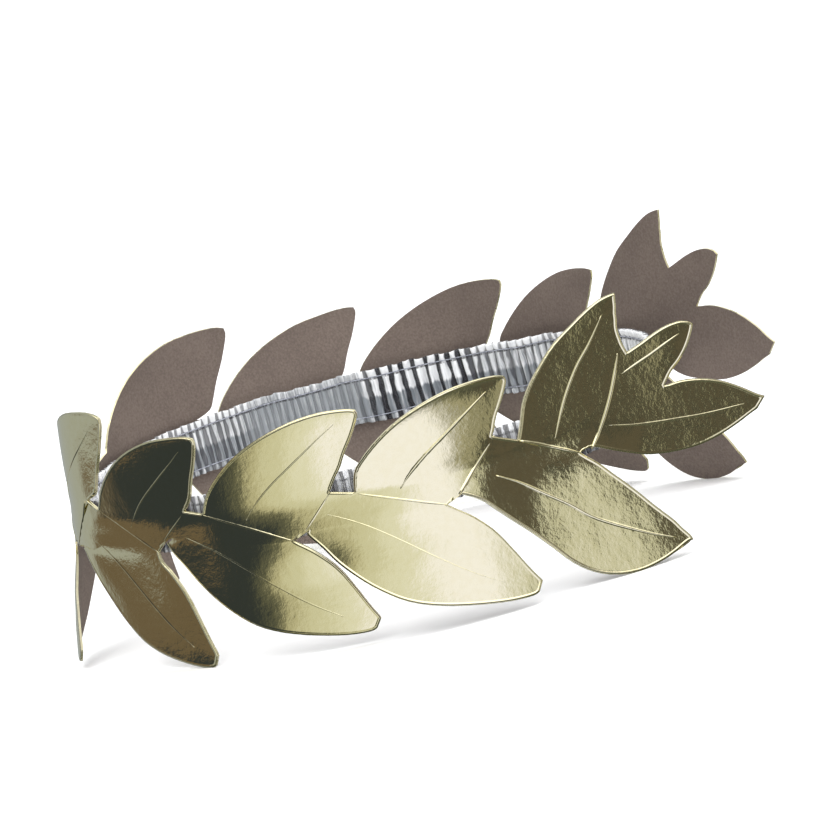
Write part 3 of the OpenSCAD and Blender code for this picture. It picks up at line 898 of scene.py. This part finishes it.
def filmFinish():
    made = newFinish("clearFilm")
    way = made.add("ShaderNodeUVMap", {"uv_map": "filmWay"}, {})
    count = made.add("ShaderNodeSeparateXYZ", {}, {0: way})
    height = count.beside(1) * (1000 / band["height"])
    pulled = made.attribute("pulled")

    def stretched(scales, detail=2):
        scaled = made.add("ShaderNodeMapping", {}, {"Vector": way, "Scale": scales + (1,)})
        return made.noise(scaled, 1, detail, 0.6)

    streak = stretched(film["streaks"], 3)
    each = stretched(film["each"])
    phase = made.maths("FRACT", count + (stretched(film["sway"]) - 0.5) * film["swayBy"])
    bar = made.rise(made.maths("ABSOLUTE", phase - 0.5) * 2, *film["barEdge"])
    upper = made.rise(height + (each - 0.5) * film["upperVaries"], *film["upperAt"])
    upper = upper * (1 - pulled * film["pulledUpper"])
    header = made.rise(height, *film["headerAt"])
    hem = made.rise(height, *film["hemAt"])
    # painted sheen: how much white each bar takes, more in its upper half, header and hem
    paintedSheen = each * film["eachWhite"] + streak * film["streakWhite"] + upper * film["upperWhite"]
    paintedSheen = paintedSheen + header * (film["headerWhite"] - pulled * film["pulledHeader"])
    paintedSheen = paintedSheen + hem * film["hemWhite"] - pulled * film["pulledWhite"]
    paintedSheen = made.rise(paintedSheen, *film["whiteAt"])
    stitch = made.rise(height, *film["stitchFrom"]) * made.rise(height, *film["stitchTo"])
    stitch = stitch * made.rise(streak, *film["stitchStreaks"]) * film["stitchDark"]
    # painted shade: near-black in the folds between bars, with a darker line along the stitching
    dark = (1 - bar) * (1 - pulled * film["pulledFolds"])
    dark = 1 - (1 - dark) * (1 - stitch)
    grey = made.blend(pulled, film["grey"], film["flat"])
    return made.surface({
        "Base Color": made.blend(dark, made.blend(paintedSheen, grey, film["bright"]), film["foldShade"]),
        "Roughness": film["roughness"] + streak * film["roughStreaks"],
        "Specular IOR Level": film["specular"],
        "Alpha": film["alphaBar"] - dark * (film["alphaBar"] - film["alphaFold"]),
        "Normal": made.bump(streak * film["streakHeight"] + bar * film["barHeight"]),
    })


# the stitching thread, light and dark with its twist
thread = {
    "dark": (0.20, 0.21, 0.25, 1), "light": (0.42, 0.44, 0.5, 1), "toneAt": (0.35, 0.65),
    "twistScale": 1500, "roughness": 0.45, "roughTwist": 0.2,
}


def threadFinish():
    made = newFinish("bandThread")
    twist = made.noise(made.place(), thread["twistScale"])
    return made.surface({
        "Base Color": made.blend(made.rise(twist, *thread["toneAt"]), thread["dark"], thread["light"]),
        "Roughness": thread["roughness"] + twist * thread["roughTwist"],
    })


clearFilm, bandThread = filmFinish(), threadFinish()
print("band finishes made")
bandColumns, gatherCount = bandSpots()
gatheredFilm, bandThreads = makeFilm(bandColumns, gatherCount), makeThreads(bandColumns)
skin = gatheredFilm.modifiers.new("skin", "SOLIDIFY")
skin.thickness, skin.offset = band["film"] * mm, 0
dress(gatheredFilm, [clearFilm], "gathered_band")
dress(bandThreads, [bandThread])
print("band made")

# studio: pale floor, soft light from above, and darker things round the room for the foil to mirror
studio = {
    "floor": (0.90, 0.90, 0.90, 1), "speck": (0.85, 0.85, 0.85, 1), "backdrop": (1.0, 1.0, 1.0, 1),
    "pale": (0.37, 0.40, 0.42, 1), "brown": (0.150, 0.117, 0.083, 1), "dark": (0.034, 0.042, 0.050, 1),
    # from the dark screen to the bright one: degrees round the room, and colour
    "screens": [(124, 132, (0.10, 0.105, 0.085, 1)), (133, 138, (0.20, 0.20, 0.15, 1)),
                (137, 143, (0.48, 0.47, 0.36, 1)), (143, 152, (0.63, 0.64, 0.55, 1)),
                (155, 168, (0.76, 0.78, 0.76, 1)), (170, 186, (0.98, 1.0, 1.25, 1))],
    "deepLow": (0.38, 0.37, 0.29, 1), "deepPatch": (0.20, 0.20, 0.15, 1),
    "deepHigh": (0.60, 0.61, 0.55, 1), "olive": (0.050, 0.055, 0.050, 1),
    "oliveBrown": (0.104, 0.092, 0.073, 1),
    "soft": (0.55, 0.55, 0.52, 1), "top": (1.9, 1.9, 1.9, 1), "under": (0.10, 0.11, 0.09, 1),
    # borders in degrees: those named At are round the room from +X, those named Up above the horizon
    "seam": -42, "tiltFrom": -20, "tiltTo": 30, "brownAt": (60, 68), "keptAt": (80, 86),
    "keptUp": (-5.2, -3.8), "darkAt": (63, 75), "darkUp": (-10.6, -11.8), "darkDropAt": (80, 90),
    "darkDrop": 3.0, "allDarkAt": (100, 104), "screenLean": 0.9, "screenShiftUp": (12, 20),
    "screenShift": 7, "deepAt": (208, 223), "deepLean": 0.12, "highUp": (-2, 6),
    "oliveAt": (223.8, 226.2), "oliveShift": 1.2, "softAt": (250, 290), "topUp": (34, 60),
    "underUp": (-30, -45),
    # patches: their scale, and where they turn from one tone to the other
    "patchScale": 14, "deepPatches": (0.42, 0.6), "olivePatches": (0.5, 0.66), "brownFrom": 226,
    "brownRise": 0.03,
    # the lamp and the floor, in metres and watts
    "lampPlace": (-0.7, -0.6, 1.6), "lampSize": 4, "lampPower": 55, "floorRadius": 6,
    "speckScale": 40, "speckShare": 0.05, "floorRoughness": 0.7, "roughSpecks": 0.1,
}


def roomColour(made, way, up, patches):
    tilt = made.add("ShaderNodeClamp", {}, {0: up, 1: studio["tiltFrom"], 2: studio["tiltTo"]})

    def at(name, value=way):
        return made.rise(value, *studio[name])

    high = at("highUp", tilt)
    browner = patches + (way - studio["brownFrom"]) * studio["brownRise"]
    olive = made.blend(at("olivePatches", browner), studio["olive"], studio["oliveBrown"])
    deep = made.blend(at("deepPatches", patches), studio["deepLow"], studio["deepPatch"])
    deep = made.blend(high, deep, studio["deepHigh"])
    kept = at("keptUp", tilt) * (1 - at("keptAt"))   # where the pale wall shows above the brown
    colour = made.blend(at("brownAt") * (1 - kept), studio["pale"], studio["brown"])
    dark = at("darkUp", tilt - at("darkDropAt") * studio["darkDrop"]) * at("darkAt")
    dark = 1 - (1 - dark) * (1 - at("allDarkAt"))
    colour = made.blend(dark, colour, studio["dark"])
    screen = way - tilt * studio["screenLean"] + at("screenShiftUp", tilt) * studio["screenShift"]
    for start, end, tone in studio["screens"]:
        colour = made.blend(made.rise(screen, start, end), colour, tone)
    colour = made.blend(at("deepAt", way - tilt * studio["deepLean"]), colour, deep)
    colour = made.blend(at("oliveAt", way - high * studio["oliveShift"]), colour, olive)
    colour = made.blend(at("softAt"), colour, studio["soft"])
    colour = made.blend(at("topUp", up), colour, studio["top"])
    return made.blend(at("underUp", up), colour, studio["under"])


def makeRoom():
    world = bpy.data.worlds.new("studioRoom")
    bpy.context.scene.world = world
    made = Finish(world)
    degrees = 180 / math.pi
    ahead = made.add("ShaderNodeTexCoord", {}, {}, "Generated")
    x = made.add("ShaderNodeSeparateXYZ", {}, {0: ahead})
    turned = made.maths("ARCTAN2", x.beside(1), x) * degrees
    way = turned + made.maths("LESS_THAN", turned, studio["seam"]) * 360   # from the seam, once round
    up = made.maths("ARCSINE", x.beside(2)) * degrees
    colour = roomColour(made, way, up, made.noise(ahead, studio["patchScale"]))
    seen = made.add("ShaderNodeLightPath", {}, {}, "Is Camera Ray")
    colour = made.blend(seen, colour, studio["backdrop"])
    back = made.add("ShaderNodeBackground", {}, {"Color": colour, "Strength": 1})
    made.add("ShaderNodeOutputWorld", {}, {"Surface": back})
    bpy.context.scene.view_settings.view_transform = "Standard"


def makeFloor():
    bm = bmesh.new()
    bmesh.ops.create_circle(bm, cap_ends=True, segments=64, radius=studio["floorRadius"])
    floor = joinMesh("paleFloor", bm, flat=True)
    made = newFinish("paleFloor")
    speck = made.noise(made.place(), studio["speckScale"], 3)
    floor.data.materials.append(made.surface({
        "Base Color": made.blend(speck * studio["speckShare"], studio["floor"], studio["speck"]),
        "Roughness": studio["floorRoughness"] + speck * studio["roughSpecks"],
    }))
    floor.visible_glossy = False   # the foil mirrors the room, not the floor


def makeLamp():
    lamp = bpy.data.lights.new("softLight", "AREA")
    lamp.shape, lamp.size, lamp.energy = "DISK", studio["lampSize"], studio["lampPower"]
    softLight = bpy.data.objects.new("softLight", lamp)
    softLight.location = studio["lampPlace"]
    softLight.rotation_euler = Vector(studio["lampPlace"]).to_track_quat("Z", "Y").to_euler()
    softLight.visible_glossy = False   # nor the lamp
    bpy.context.scene.collection.objects.link(softLight)


makeRoom()
makeFloor()
makeLamp()
print("studio made")

# the camera of the photograph, in millimetres and degrees
view = {"target": (25.46, 2.99, 37.5), "distance": 2077.85, "azimuth": 10.01, "elevation": 8.75,
        "roll": -14.83, "lens": 349.09, "sensor": 36, "clipEnd": 50000}


def makeCamera():
    data = bpy.data.cameras.new("photoView")
    data.lens, data.sensor_width, data.clip_end = view["lens"], view["sensor"], view["clipEnd"] * mm
    camera = bpy.data.objects.new("photoView", data)
    a, e, r = (math.radians(view[key]) for key in ("azimuth", "elevation", "roll"))
    ahead = Vector((math.cos(a) * math.cos(e), math.sin(a) * math.cos(e), -math.sin(e)))
    right = Vector((math.sin(a), -math.cos(a), 0))
    above = right.cross(ahead)
    x = right * math.cos(r) + above * math.sin(r)
    y = above * math.cos(r) - right * math.sin(r)
    turn = Matrix((x, y, -ahead)).transposed()
    place = Vector(view["target"]) * mm - ahead * view["distance"] * mm
    camera.matrix_world = Matrix.Translation(place) @ turn.to_4x4()
    bpy.context.scene.collection.objects.link(camera)
    bpy.context.scene.camera = camera


makeCamera()
print("camera set")
